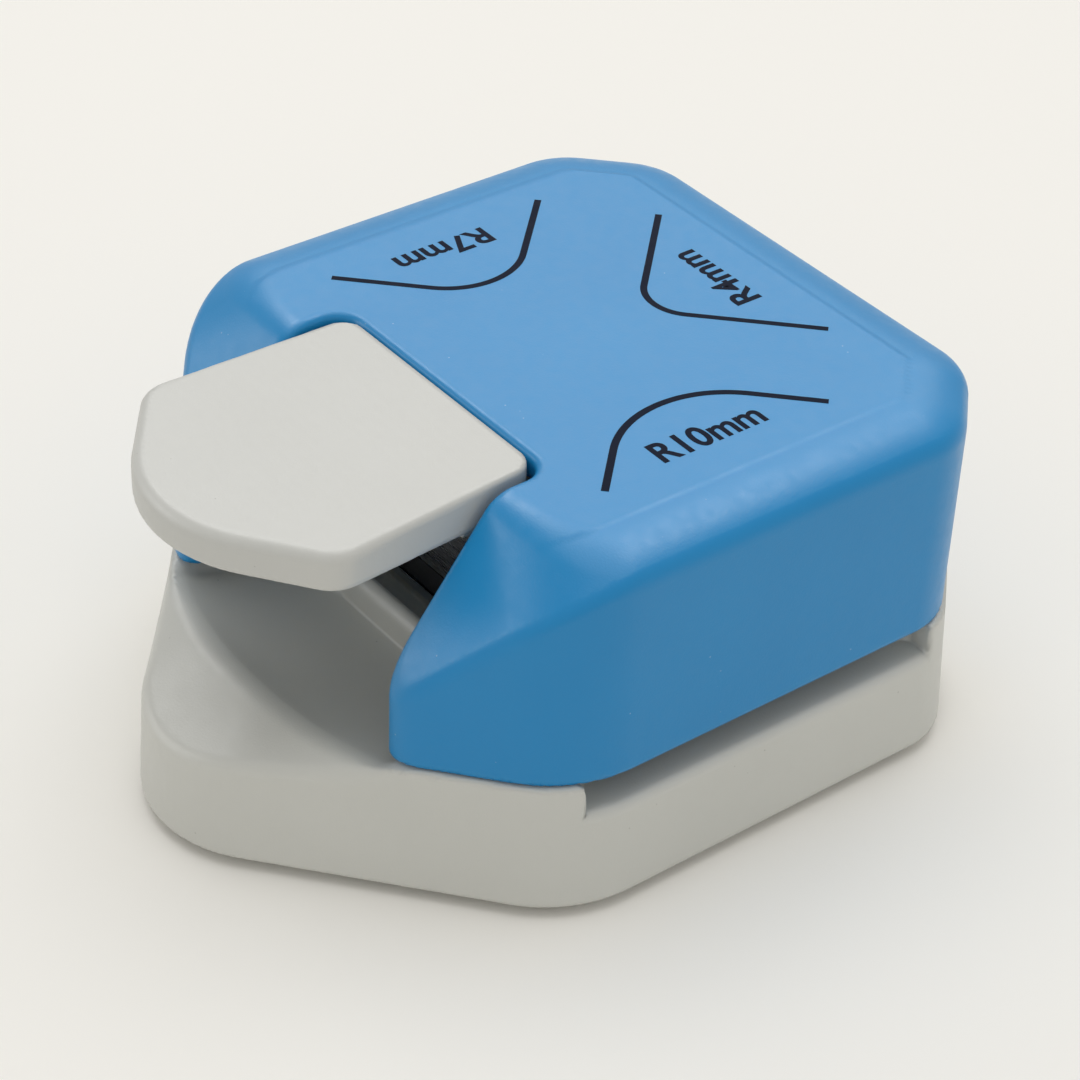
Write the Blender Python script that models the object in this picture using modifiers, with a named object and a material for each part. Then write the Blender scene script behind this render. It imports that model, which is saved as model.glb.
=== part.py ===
"""Corner rounder for paper with three cutting radii: 4, 7 and 10 mm.

Metres, +Z up. The origin is on the ground under the middle of the object. The sheet goes into one of three
slots: right for 10 mm, left for 7 mm, back for 4 mm. Plan dimensions are measured from the cutting centre,
the point midway between the three slots, which lies CENTRE_Y behind the origin, and heights from a plane
CENTRE_Z above the ground. The lever points to -Y.
"""

import math

import bmesh
import bpy
from mathutils import Vector

MM = 0.001
OBJECT_NAME = "corner_rounder"

# Overall plan: distances from the cutting centre.
CENTRE_Y = 6.63 * MM
CENTRE_Z = 0.75 * MM
HALF_WIDTH = 28.0 * MM
BACK = 27.0 * MM
BACK_CHAMFER = 47.6 * MM          # |x| + |y| on the two rear chamfers
FRONT_CHAMFER_Y = -19.5 * MM      # where the front chamfers leave the sides
FRONT_CHAMFER_SLOPE = math.radians(40.8)
NOSE_RADIUS = 10.6 * MM
SIDE_RADIUS = 12.0 * MM           # rounding between side and front chamfer
BACK_RADIUS = 7.2 * MM            # rounding of the four rear corners
BASE_PROUD = 0.7 * MM             # how far the base stands out past the cover, all round

# Heights, from the plane CENTRE_Z above the ground.
FOOT_PROUD = 0.25 * MM
SLOT_FLOOR = 9.6 * MM
FENCE_TOP = 12.4 * MM
HOUSING_BOTTOM = 12.7 * MM
TOP = 33.4 * MM

# Walls and clearances.
WALL = 2.0 * MM
GAP = 0.3 * MM                    # between pieces that rest on each other
FIT = 0.15 * MM                   # round and cutting pieces that slide in a hole

# Slots and punches.
APEX = 7.8 * MM                   # where the two walls of each slot meet, from the centre
SLOT_HALF = 18.3 * MM             # half width of each mouth
RECESS = (19.3 * MM, -12.0 * MM, 17.3 * MM)   # half width, front, back of the die plate's seat
RECESS_FLOOR = 8.3 * MM
TROUGH_FLOOR = 7.0 * MM           # between the die plate's seat and the bowl's cross wall
DECK_BOTTOM = 5.8 * MM
PLATE = 1.0 * MM                  # thickness of both steel plates
PUNCH_EDGE = 12.9 * MM            # cutting edges at rest
PUNCH_TOP = 23.0 * MM
# name: radius, way the slot opens, overlap behind the slot's walls, screw's distance from the apex
PUNCHES = {
    "r10": (10.0 * MM, (1.0, 0.0), 0.9 * MM, 1.4 * MM),
    "r7": (7.0 * MM, (-1.0, 0.0), 1.1 * MM, 0.65 * MM),
    "r4": (4.0 * MM, (0.0, 1.0), 1.6 * MM, -0.3 * MM),
}

# Punch carrier, its two posts and the return spring.
CARRIER_BOTTOM = 21.3 * MM
CARRIER_TOP = 26.3 * MM
POST_XY = (11.0 * MM, 10.8 * MM)
POST_RADIUS = 1.5 * MM
SPRING_RADIUS = 3.4 * MM
SPRING_WIRE = 0.4 * MM
SPRING_TURNS = 5
SPRING_BOTTOM = 13.9 * MM
SPRING_TOP = 24.2 * MM

# Lever.
PIVOT_Y = 18.9 * MM
PIVOT_Z = 27.4 * MM
PIN_RADIUS = 1.5 * MM
LEVER_BACK = -13.4 * MM
LEVER_THICKNESS = 4.3 * MM
WELL_HALF = 14.1 * MM             # half width of the opening the lever sits in
WELL_BACK = -13.0 * MM

# Screws that join housing and base, each under a rubber foot.
SCREW_PLACES = [
    (20.0 * MM, 19.7 * MM),
    (-20.0 * MM, 19.7 * MM),
    (-19.5 * MM, -18.5 * MM),
    (19.5 * MM, -18.5 * MM),
]
BLOCK_SCREWS = {
    "left": (-14.5 * MM, 14.2 * MM),
    "right": (14.5 * MM, 14.2 * MM),
    "front": (0.0, -8.0 * MM),
}

# Chip space under the deck and its hinged cover.
CHIP_HALF = 15.4 * MM
CHIP_FRONT = -13.5 * MM
CHIP_BACK = 18.2 * MM
COVER_AXIS = (16.7 * MM, 1.9 * MM)            # y, z

# Bowl in the nose: a shallow ellipsoid that stops at a cross wall.
BOWL_CENTRE = (0.0, -19.0 * MM, 14.9 * MM)
BOWL_RADII = (30.1 * MM, 15.3 * MM, 5.8 * MM)
BOWL_HALF = 15.5 * MM
CROSS_WALL_Y = -17.8 * MM
CROSS_WALL = 1.5 * MM

# The plane that slopes down the front of the housing's cheeks.
CHEEK_SLOPE = math.radians(52.6)
CHEEK_TOP_Y = -18.3 * MM

FAR = 60.0 * MM                   # longer than any wall a cutter goes through


# ---------------------------------------------------------------- scene

def clear_scene():
    for obj in list(bpy.data.objects):
        bpy.data.objects.remove(obj, do_unlink=True)


def collection(name):
    found = bpy.data.collections.new(name)
    bpy.context.scene.collection.children.link(found)
    return found


clear_scene()
PARTS = collection(OBJECT_NAME)
CUTTERS = collection("cutters")


def empty(name, location, parent=None):
    """A frame that pieces hang from. Locations are given from the cutting centre."""
    marker = bpy.data.objects.new(name, None)
    marker.empty_display_size = 5.0 * MM
    marker.location = location
    marker.parent = parent
    PARTS.objects.link(marker)
    return marker


CENTRE = empty("cutting_centre", (0.0, CENTRE_Y, CENTRE_Z))
AXES = {}


def axis_frame(name, location):
    AXES[name] = empty(name, location, CENTRE)
    return AXES[name]


def material(name, colour, roughness, metallic=0.0):
    made = bpy.data.materials.new(name)
    made.use_nodes = True
    shader = made.node_tree.nodes["Principled BSDF"]
    shader.inputs["Base Color"].default_value = (*colour, 1.0)
    shader.inputs["Roughness"].default_value = roughness
    shader.inputs["Metallic"].default_value = metallic
    return made


BLUE = (0.10, 0.35, 0.66)
GREY = (0.56, 0.56, 0.53)
LIGHT_GREY = (0.68, 0.68, 0.65)
DARK = (0.05, 0.05, 0.055)
STEEL = (0.62, 0.63, 0.65)


def finish(obj, colour, roughness=0.4, metallic=0.0, frame=None):
    """Gives a part its material and hangs it from the centre, or from its joint's axis."""
    obj.data.materials.clear()
    obj.data.materials.append(material(obj.name, colour, roughness, metallic))
    if frame is not None:
        obj.parent = frame
        obj.location = -Vector(frame.location)
    return obj


# ---------------------------------------------------------------- outlines

def arc(corner, before, after, radius, steps):
    """The rounding of one corner as steps + 1 points."""
    corner = Vector(corner)
    a = (Vector(before) - corner).normalized()
    b = (Vector(after) - corner).normalized()
    half = a.angle(b) / 2
    tangent = radius / math.tan(half)
    centre = corner + (a + b).normalized() * (radius / math.sin(half))
    start = corner + a * tangent - centre
    end = corner + b * tangent - centre
    sweep = start.angle_signed(end)
    points = []
    for i in range(steps + 1):
        turn = -sweep * i / steps
        c, s = math.cos(turn), math.sin(turn)
        points.append((centre.x + c * start.x - s * start.y, centre.y + s * start.x + c * start.y))
    return points


def rounded(corners, steps=4):
    """A closed outline from (x, y, radius) corners, anticlockwise."""
    outline = []
    count = len(corners)
    for i, (x, y, radius) in enumerate(corners):
        if radius <= 0.0:
            outline.append((x, y))
            continue
        before = corners[i - 1][:2]
        after = corners[(i + 1) % count][:2]
        outline += arc((x, y), before, after, radius, steps)
    return outline


def rectangle(x0, x1, y0, y1, radius=0.0):
    return rounded([(x0, y0, radius), (x1, y0, radius), (x1, y1, radius), (x0, y1, radius)])


def meet(edge_a, edge_b):
    """Where two edges, given as (normal x, normal y, distance), cross."""
    ax, ay, ad = edge_a[:3]
    bx, by, bd = edge_b[:3]
    det = ax * by - ay * bx
    return ((ad * by - bd * ay) / det, (ax * bd - bx * ad) / det)


def from_edges(edges, inset, steps):
    """The outline inside a ring of edges (normal x, normal y, distance, share of the inset, radius)."""
    moved = [(nx, ny, dist - inset * share) for nx, ny, dist, share, _ in edges]
    corners = []
    for i, edge in enumerate(moved):
        x, y = meet(edge, moved[(i + 1) % len(moved)])
        corners.append((x, y, edges[i][4]))
    return rounded(corners, steps)


SLANT = (math.sin(FRONT_CHAMFER_SLOPE), math.cos(FRONT_CHAMFER_SLOPE))
SLANT_DISTANCE = HALF_WIDTH * SLANT[0] - FRONT_CHAMFER_Y * SLANT[1]
HALF_ROOT = math.sqrt(0.5)


def rear_edges(tip_radius):
    """The edges from the right front chamfer round the back to the left front chamfer.
    Each carries the radius of the corner that follows it."""
    chamfer = BACK_CHAMFER * HALF_ROOT
    return [
        (SLANT[0], -SLANT[1], SLANT_DISTANCE, 1.0, SIDE_RADIUS),
        (1.0, 0.0, HALF_WIDTH, 1.0, BACK_RADIUS),
        (HALF_ROOT, HALF_ROOT, chamfer, 1.0, BACK_RADIUS),
        (0.0, 1.0, BACK, 1.0, BACK_RADIUS),
        (-HALF_ROOT, HALF_ROOT, chamfer, 1.0, BACK_RADIUS),
        (-1.0, 0.0, HALF_WIDTH, 1.0, SIDE_RADIUS),
        (-SLANT[0], -SLANT[1], SLANT_DISTANCE, 1.0, tip_radius),
    ]


def base_outline(inset=0.0, steps=6):
    inset -= BASE_PROUD
    return from_edges(rear_edges(NOSE_RADIUS - inset), inset, steps)


def housing_outline(inset=0.0, steps=5):
    """The cover's plan, with the well for the lever. The well's edges take a small share of an inset."""
    tip = 2.2 * MM
    share = -0.15
    well = [
        (1.0, 0.0, -WELL_HALF, share, tip),
        (0.0, -1.0, -WELL_BACK, -share, tip),
        (-1.0, 0.0, -WELL_HALF, share, tip),
    ]
    return from_edges(rear_edges(tip) + well, inset, steps)


def cavity_outline(inset):
    """The inside of the cover, closed straight across in front."""
    front = (0.0, -1.0, 29.0 * MM, 0.0, 1.0 * MM)
    return from_edges(rear_edges(1.0 * MM) + [front], inset, 3)


def lever_outline(inset=0.0, steps=6):
    """The thumb plate: slightly wider in front, with a blunt rounded nose."""
    back_half = 13.0 * MM - inset
    front_half = 13.8 * MM - inset
    shoulder_y = -32.8 * MM + inset * 0.5
    apex_y = -42.5 * MM + inset * 1.2
    corner = 2.4 * MM
    return rounded([
        (-back_half, LEVER_BACK - inset, 2.0 * MM),
        (-front_half, shoulder_y, corner),
        (0.0, apex_y, 9.6 * MM),
        (front_half, shoulder_y, corner),
        (back_half, LEVER_BACK - inset, 2.0 * MM),
    ], steps)


def slot_outline(name, reach=40.0 * MM):
    """The right-angled wedge that the sheet's corner enters, straight-sided once it is as wide as the mouth."""
    out = Vector(PUNCHES[name][1])
    side = Vector((-out.y, out.x)) * SLOT_HALF
    apex = out * APEX
    widest = out * (APEX + SLOT_HALF)
    far = out * reach
    return [tuple(point) for point in (apex, widest - side, far - side, far + side, widest + side)]


def punch_outline(name, clearance=0.0, steps=10):
    """What a punch removes from the sheet: between the slot's two walls and the arc that rounds the corner."""
    radius, direction, overlap, _ = PUNCHES[name]
    out = Vector(direction)
    side = Vector((-out.y, out.x))
    apex = out * APEX
    centre = apex + out * radius * math.sqrt(2)
    reach = overlap + clearance

    def tip(sign):
        leg = (out + side * sign).normalized()
        normal = (side * sign - out).normalized()
        end = apex + leg * (radius + clearance)
        return end + normal * reach, end - normal * clearance

    outer_a, inner_a = tip(-1.0)
    outer_b, inner_b = tip(1.0)
    points = [apex - out * reach * math.sqrt(2), outer_a, inner_a]
    for i in range(steps + 1):
        angle = math.radians(-45.0 + 90.0 * i / steps)
        points.append(centre + (-out * math.cos(angle) + side * math.sin(angle)) * (radius - clearance))
    points += [inner_b, outer_b]
    clean = [points[0]]
    for point in points[1:]:
        if (point - clean[-1]).length > 0.02 * MM:
            clean.append(point)
    return [tuple(p) for p in clean]


# ---------------------------------------------------------------- solids

def from_mesh(name, mesh, cutter=False):
    obj = bpy.data.objects.new(name, mesh)
    obj.parent = CENTRE
    if cutter:
        CUTTERS.objects.link(obj)
        obj.hide_render = True
        obj.display_type = "WIRE"
    else:
        PARTS.objects.link(obj)
    return obj


def plate(name, outline, z0, z1, cutter=False):
    """A flat outline as a filled 2D curve, extruded and then turned into a mesh."""
    curve = bpy.data.curves.new(name, "CURVE")
    curve.dimensions = "2D"
    curve.fill_mode = "BOTH"
    curve.extrude = (z1 - z0) / 2
    spline = curve.splines.new("POLY")
    spline.points.add(len(outline) - 1)
    for point, (x, y) in zip(spline.points, outline):
        point.co = (x, y, 0.0, 1.0)
    spline.use_cyclic_u = True
    return from_curve(name, curve, Vector((0.0, 0.0, (z0 + z1) / 2)), cutter)


def from_curve(name, curve, shift, cutter=False):
    """The evaluated mesh of a curve with its caps welded, moved by shift."""
    holder = bpy.data.objects.new(name + "_curve", curve)
    CUTTERS.objects.link(holder)
    view = bpy.context.evaluated_depsgraph_get()
    mesh = bpy.data.meshes.new_from_object(holder.evaluated_get(view))
    bpy.data.objects.remove(holder, do_unlink=True)
    build = bmesh.new()
    build.from_mesh(mesh)
    bmesh.ops.remove_doubles(build, verts=build.verts, dist=0.00001)
    bmesh.ops.translate(build, verts=build.verts, vec=shift)
    bmesh.ops.recalc_face_normals(build, faces=build.faces)
    build.to_mesh(mesh)
    build.free()
    mesh.name = name
    return from_mesh(name, mesh, cutter)


def loft(name, rings, cutter=False):
    """A closed solid through rings of equal point counts, bottom to top."""
    mesh = bpy.data.meshes.new(name)
    build = bmesh.new()
    loops = [[build.verts.new(point) for point in ring] for ring in rings]
    count = len(loops[0])
    for low, high in zip(loops, loops[1:]):
        for i in range(count):
            j = (i + 1) % count
            build.faces.new((low[i], low[j], high[j], high[i]))
    build.faces.new(reversed(loops[0]))
    build.faces.new(loops[-1])
    bmesh.ops.recalc_face_normals(build, faces=build.faces)
    build.to_mesh(mesh)
    build.free()
    return from_mesh(name, mesh, cutter)


def stack(name, outline_at, levels, cutter=False):
    """A loft of one outline at several heights, each level being (inset, z)."""
    rings = [[(x, y, z) for x, y in outline_at(inset)] for inset, z in levels]
    return loft(name, rings, cutter)


def box(name, low, high, cutter=False):
    mesh = bpy.data.meshes.new(name)
    build = bmesh.new()
    bmesh.ops.create_cube(build, size=1.0)
    low, high = Vector(low), Vector(high)
    bmesh.ops.scale(build, verts=build.verts, vec=high - low)
    bmesh.ops.translate(build, verts=build.verts, vec=(low + high) / 2)
    build.to_mesh(mesh)
    build.free()
    return from_mesh(name, mesh, cutter)


def cylinder(name, start, end, radius, sides=24, cutter=False):
    """A round bar between two points that differ along one axis only."""
    start, end = Vector(start), Vector(end)
    mesh = bpy.data.meshes.new(name)
    build = bmesh.new()
    span = end - start
    bmesh.ops.create_cone(build, cap_ends=True, segments=sides, radius1=radius, radius2=radius, depth=span.length)
    turn = Vector((0.0, 0.0, 1.0)).rotation_difference(span).to_matrix()
    bmesh.ops.rotate(build, verts=build.verts, matrix=turn)
    bmesh.ops.translate(build, verts=build.verts, vec=(start + end) / 2)
    build.to_mesh(mesh)
    build.free()
    return from_mesh(name, mesh, cutter)


def post(name, place, z0, z1, radius, sides=24, cutter=False):
    return cylinder(name, (*place, z0), (*place, z1), radius, sides, cutter)


def turned(name, profile, place, steps=20):
    """A turned piece: a profile of (radius, z) from the top down its outer side, closed on the axis."""
    mesh = bpy.data.meshes.new(name)
    build = bmesh.new()
    verts = [build.verts.new((radius, 0.0, z)) for radius, z in profile]
    for a, b in zip(verts, verts[1:]):
        build.edges.new((a, b))
    build.to_mesh(mesh)
    build.free()
    obj = from_mesh(name, mesh)
    obj.location = (*place, 0.0)
    screw = obj.modifiers.new("turn", "SCREW")
    screw.steps = steps
    screw.render_steps = steps
    screw.use_merge_vertices = True
    screw.merge_threshold = 0.00001
    screw.use_smooth_shade = True
    return obj


def combine(target, tool, operation):
    modifier = target.modifiers.new(tool.name, "BOOLEAN")
    modifier.operation = operation
    modifier.object = tool
    modifier.solver = "EXACT"


def cut(target, *tools):
    for tool in tools:
        combine(target, tool, "DIFFERENCE")


def join(target, *tools):
    for tool in tools:
        combine(target, tool, "UNION")


def keep(target, tool):
    combine(target, tool, "INTERSECT")


def mirrored(place):
    return [place, (-place[0], place[1])]


def smoothstep(value):
    value = max(0.0, min(1.0, value))
    return value * value * (3.0 - 2.0 * value)


# ---------------------------------------------------------------- base

def nose_y(x):
    """The base's front outline at a distance x from the middle."""
    slope = SLANT[0] / SLANT[1]
    radius = NOSE_RADIUS + BASE_PROUD
    apex = -(SLANT_DISTANCE + BASE_PROUD) / SLANT[1]
    centre = apex + radius / SLANT[1]
    if abs(x) > radius * SLANT[0]:
        return apex + abs(x) * slope
    return centre - math.sqrt(radius ** 2 - x * x)


def front_band(steps=24):
    """Takes off the nose's top outer edge: a band that falls from the bowl's rim to a crease on the wall."""
    reach = 0.35
    sections = []
    for i in range(steps + 1):
        side = -1.0 + 2.0 * i / steps
        rim = Vector((
            17.2 * MM * side,
            -32.4 * MM + 3.0 * MM * side * side,
            12.1 * MM + 0.6 * MM * smoothstep((abs(side) - 0.85) / 0.15),
        ))
        x = 19.5 * MM * side
        crease = Vector((x, nose_y(x), 9.2 * MM + 3.6 * MM * smoothstep((abs(x) / MM - 12.5) / 7.0)))
        outer = crease + (crease - rim) * reach
        inner = rim + (rim - crease) * reach
        top = 16.0 * MM
        sections.append([outer, inner, Vector((inner.x, inner.y, top)), Vector((outer.x, outer.y - 1.0 * MM, top))])
    return loft("front_band", sections, cutter=True)


def bowl_cutter():
    mesh = bpy.data.meshes.new("bowl")
    build = bmesh.new()
    bmesh.ops.create_uvsphere(build, u_segments=48, v_segments=24, radius=1.0)
    bmesh.ops.scale(build, verts=build.verts, vec=BOWL_RADII)
    bmesh.ops.translate(build, verts=build.verts, vec=BOWL_CENTRE)
    build.to_mesh(mesh)
    build.free()
    bowl = from_mesh("bowl", mesh, cutter=True)
    limit = box("bowl_limit", (-BOWL_HALF, -FAR, 0.0), (BOWL_HALF, CROSS_WALL_Y, FAR), cutter=True)
    keep(bowl, limit)
    return bowl


def underside_hollow():
    """The moulding's hollow underside, less the chip space's walls and the screw columns."""
    wall = 1.4 * MM
    hollow = plate("underside", base_outline(2.2 * MM), -5.0 * MM, DECK_BOTTOM, cutter=True)
    ring = box("chip_walls", (-CHIP_HALF - wall, CHIP_FRONT - wall, -FAR),
               (CHIP_HALF + wall, CHIP_BACK + wall, FAR), cutter=True)
    cut(hollow, ring)
    for i, place in enumerate(SCREW_PLACES):
        cut(hollow, post(f"column_{i}", place, -FAR, FAR, 4.4 * MM, cutter=True))
    return hollow


def base_shell():
    levels = [(0.35 * MM, FOOT_PROUD), (0.1 * MM, 0.35 * MM), (0.0, 0.6 * MM), (0.0, FENCE_TOP)]
    base = stack("base_shell", base_outline, levels)
    half, front, back = RECESS
    cut(base, underside_hollow())
    chip = rectangle(-CHIP_HALF, CHIP_HALF, CHIP_FRONT, CHIP_BACK)
    cut(base, plate("chip_space", chip, -4.0 * MM, DECK_BOTTOM + 0.01 * MM, cutter=True))
    for name, place in BLOCK_SCREWS.items():
        join(base, post(f"chip_column_{name}", place, 2.8 * MM, RECESS_FLOOR - 0.4 * MM, 2.2 * MM, 16, True))
    for name in PUNCHES:
        cut(base, plate(f"slot_{name}", slot_outline(name), SLOT_FLOOR, FAR, cutter=True))
    cut(base, plate("die_seat", rectangle(-half, half, front, back), RECESS_FLOOR, FAR, cutter=True))
    trough = rectangle(-13.0 * MM, 13.0 * MM, CROSS_WALL_Y + CROSS_WALL, front + 1.0 * MM)
    cut(base, plate("trough", trough, TROUGH_FLOOR, FAR, cutter=True))
    cut(base, front_band(), bowl_cutter())
    for name in PUNCHES:
        cut(base, plate(f"chute_{name}", punch_outline(name, 0.8 * MM), 4.0 * MM, 9.0 * MM, cutter=True))
    for name, place in BLOCK_SCREWS.items():
        cut(base, post(f"block_pilot_{name}", place, 3.3 * MM, 9.0 * MM, 0.95 * MM, 12, True))
    for i, place in enumerate(SCREW_PLACES):
        cut(base, post(f"foot_seat_{i}", place, -2.0 * MM, 1.7 * MM, 3.65 * MM, 24, True))
        cut(base, post(f"head_seat_{i}", place, 1.0 * MM, 4.0 * MM, 2.6 * MM, 20, True))
        cut(base, post(f"shank_way_{i}", place, 3.5 * MM, 14.0 * MM, 1.45 * MM, 16, True))
    y, z = COVER_AXIS
    hinge = cylinder("cover_hinge_bore", (-17.6 * MM, y, z), (17.6 * MM, y, z), 0.9 * MM, 16, True)
    cut(base, hinge)
    notch = post("nail_notch", (0.0, CHIP_FRONT - 0.7 * MM), -1.0 * MM, 2.0 * MM, 4.0 * MM, 24, True)
    cut(base, notch)
    return finish(base, GREY, 0.45)


# ---------------------------------------------------------------- housing

def slope_cutter(name, depth):
    """Everything in front of the sloping plane of the cheeks, moved back by depth."""
    normal = Vector((0.0, -math.sin(CHEEK_SLOPE), math.cos(CHEEK_SLOPE)))
    size = 2 * FAR
    cutter = box(name, (-size / 2, -size / 2, -size / 2), (size / 2, size / 2, size / 2), cutter=True)
    cutter.rotation_euler = (CHEEK_SLOPE, 0.0, 0.0)
    cutter.location = Vector((0.0, CHEEK_TOP_Y, TOP)) + normal * (size / 2 - depth)
    return cutter


def housing_cavity():
    cavity = plate("cavity", cavity_outline(WALL), 5.0 * MM, 31.0 * MM, cutter=True)
    cut(cavity, slope_cutter("inner_slope", 2.2 * MM))
    for side in (-1.0, 1.0):
        x0, x1 = sorted((side * (WELL_HALF - 0.1 * MM), side * 15.6 * MM))
        wall = box(f"cheek_wall_{'left' if side < 0 else 'right'}",
                   (x0, -FAR, 0.0), (x1, -12.2 * MM, FAR), cutter=True)
        cut(cavity, wall)
    return cavity


def top_housing():
    band = [
        (0.3, 12.7), (0.0, 13.0), (0.0, 30.6), (0.12, 31.1), (0.45, 31.55),
        (1.5, 32.3), (2.4, 32.9), (3.0, 33.25), (3.6, 33.4),
    ]
    levels = [(inset * MM, z * MM) for inset, z in band]
    housing = stack("top_housing", housing_outline, levels)
    cut(housing, housing_cavity())
    for i, place in enumerate(SCREW_PLACES):
        join(housing, post(f"boss_{i}", place, 12.9 * MM, 31.7 * MM, 3.2 * MM, 20, True))
    for side in (-1.0, 1.0):
        x0, x1 = sorted((side * 11.0 * MM, side * 14.0 * MM))
        ear = box(f"ear_{'left' if side < 0 else 'right'}", (x0, 15.7 * MM, 24.0 * MM),
                  (x1, 22.1 * MM, 31.7 * MM), cutter=True)
        join(housing, ear)
    cut(housing, slope_cutter("outer_slope", 0.0))
    for i, place in enumerate(SCREW_PLACES):
        cut(housing, post(f"boss_pilot_{i}", place, 10.0 * MM, 25.0 * MM, 1.25 * MM, 16, True))
    bore = cylinder("ear_bore", (-20.0 * MM, PIVOT_Y, PIVOT_Z), (20.0 * MM, PIVOT_Y, PIVOT_Z),
                    PIN_RADIUS + 0.1 * MM, 24, True)
    cut(housing, bore)
    return finish(housing, BLUE, 0.35)


# ---------------------------------------------------------------- lever

def lever_frame():
    return axis_frame("lever_axis", (0.0, PIVOT_Y, PIVOT_Z))


def lever():
    under = TOP - LEVER_THICKNESS
    levels = [
        (0.6 * MM, under), (0.15 * MM, under + 0.2 * MM), (0.0, under + 0.6 * MM), (0.0, TOP - 1.2 * MM),
        (0.1 * MM, TOP - 0.6 * MM), (0.35 * MM, TOP - 0.2 * MM), (0.8 * MM, TOP),
    ]
    piece = stack("lever", lever_outline, levels)
    arm = box("lever_arm", (-8.5 * MM, -19.0 * MM, 28.2 * MM), (8.5 * MM, PIVOT_Y, 30.7 * MM), cutter=True)
    step = box("lever_step", (-11.5 * MM, -19.2 * MM, 27.3 * MM), (11.5 * MM, -12.6 * MM, 30.5 * MM), cutter=True)
    hub = cylinder("lever_hub", (-10.6 * MM, PIVOT_Y, PIVOT_Z), (10.6 * MM, PIVOT_Y, PIVOT_Z), 3.0 * MM, 24, True)
    nose = cylinder("presser_nose", (-6.0 * MM, 0.0, 28.7 * MM), (6.0 * MM, 0.0, 28.7 * MM), 2.2 * MM, 20, True)
    join(piece, step, arm, hub, nose)
    cut(piece, cylinder("lever_bore", (-15.0 * MM, PIVOT_Y, PIVOT_Z), (15.0 * MM, PIVOT_Y, PIVOT_Z),
                        PIN_RADIUS + 0.1 * MM, 24, True))
    return finish(piece, LIGHT_GREY, 0.45, frame=AXES["lever_axis"])


def lever_pin():
    pin = cylinder("lever_pin", (-14.6 * MM, PIVOT_Y, PIVOT_Z), (14.6 * MM, PIVOT_Y, PIVOT_Z), PIN_RADIUS)
    return finish(pin, STEEL, 0.25, 1.0)


# ---------------------------------------------------------------- punches and plates

def punch_screw_place(name):
    _, direction, _, offset = PUNCHES[name]
    reach = APEX + offset
    return (reach * direction[0], reach * direction[1])


def punch_carrier():
    outline = rectangle(-15.2 * MM, 17.2 * MM, -10.0 * MM, 13.8 * MM, 3.0 * MM)
    carrier = plate("punch_carrier", outline, CARRIER_BOTTOM, CARRIER_TOP)
    cut(carrier, box("arm_notch", (-9.6 * MM, -FAR, 0.0), (9.6 * MM, -4.6 * MM, FAR), cutter=True))
    cut(carrier, post("spring_pocket", (0.0, 0.0), 15.0 * MM, SPRING_TOP + 0.2 * MM, 4.4 * MM, 24, True))
    for name in PUNCHES:
        place = punch_screw_place(name)
        cut(carrier, plate(f"punch_seat_{name}", punch_outline(name, FIT), 18.0 * MM, PUNCH_TOP + GAP, cutter=True))
        cut(carrier, post(f"punch_screw_way_{name}", place, 22.0 * MM, 28.0 * MM, 0.9 * MM, 12, True))
        cut(carrier, post(f"punch_screw_seat_{name}", place, 24.8 * MM, 28.0 * MM, 1.7 * MM, 16, True))
    for i, place in enumerate(mirrored(POST_XY)):
        cut(carrier, post(f"post_way_{i}", place, 15.0 * MM, 30.0 * MM, POST_RADIUS + FIT, 20, True))
    return finish(carrier, DARK, 0.5, frame=AXES["punch_axis"])


def punch(name):
    piece = plate(f"punch_{name}", punch_outline(name), PUNCH_EDGE, PUNCH_TOP)
    cut(piece, post(f"punch_tap_{name}", punch_screw_place(name), 18.0 * MM, 25.0 * MM, 0.9 * MM, 12, True))
    return finish(piece, STEEL, 0.25, 1.0, frame=AXES["punch_axis"])


def screw_profile(head_radius, head_top, head_bottom, shank_radius, tip):
    """A screw with its head up, as (radius, z) from the top down."""
    dome = (head_top - head_bottom) * 0.3
    return [
        (0.0, head_top), (head_radius * 0.75, head_top), (head_radius, head_top - dome),
        (head_radius, head_bottom), (shank_radius, head_bottom), (shank_radius, tip + shank_radius),
        (shank_radius * 0.3, tip), (0.0, tip),
    ]


def punch_screw(name):
    profile = screw_profile(1.5 * MM, 26.0 * MM, 24.95 * MM, 0.75 * MM, 18.6 * MM)
    piece = turned(f"punch_screw_{name}", profile, punch_screw_place(name), 12)
    finish(piece, STEEL, 0.3, 1.0)
    frame = AXES["punch_axis"]
    piece.parent = frame
    piece.location = piece.location - Vector(frame.location)
    return piece


def block_screw(name):
    profile = screw_profile(1.7 * MM, 12.25 * MM, 11.15 * MM, 0.8 * MM, 3.7 * MM)
    return finish(turned(f"block_screw_{name}", profile, BLOCK_SCREWS[name], 12), STEEL, 0.3, 1.0)


def housing_screw(number, place):
    """Head down: the profile runs from the tip down to the head."""
    profile = [
        (0.0, 24.0 * MM), (0.35 * MM, 24.0 * MM), (1.15 * MM, 22.6 * MM), (1.15 * MM, 3.85 * MM),
        (2.25 * MM, 3.85 * MM), (2.25 * MM, 2.7 * MM), (1.7 * MM, 2.2 * MM), (0.0, 2.2 * MM),
    ]
    return finish(turned(f"housing_screw_{number}", profile, place, 14), STEEL, 0.3, 1.0)


def guide_post(side, place):
    profile = [
        (0.0, 25.8 * MM), (POST_RADIUS - 0.4 * MM, 25.8 * MM), (POST_RADIUS, 25.4 * MM),
        (POST_RADIUS, SPRING_BOTTOM), (0.0, SPRING_BOTTOM),
    ]
    return finish(turned(f"guide_post_{side}", profile, place, 20), STEEL, 0.25, 1.0)


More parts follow.
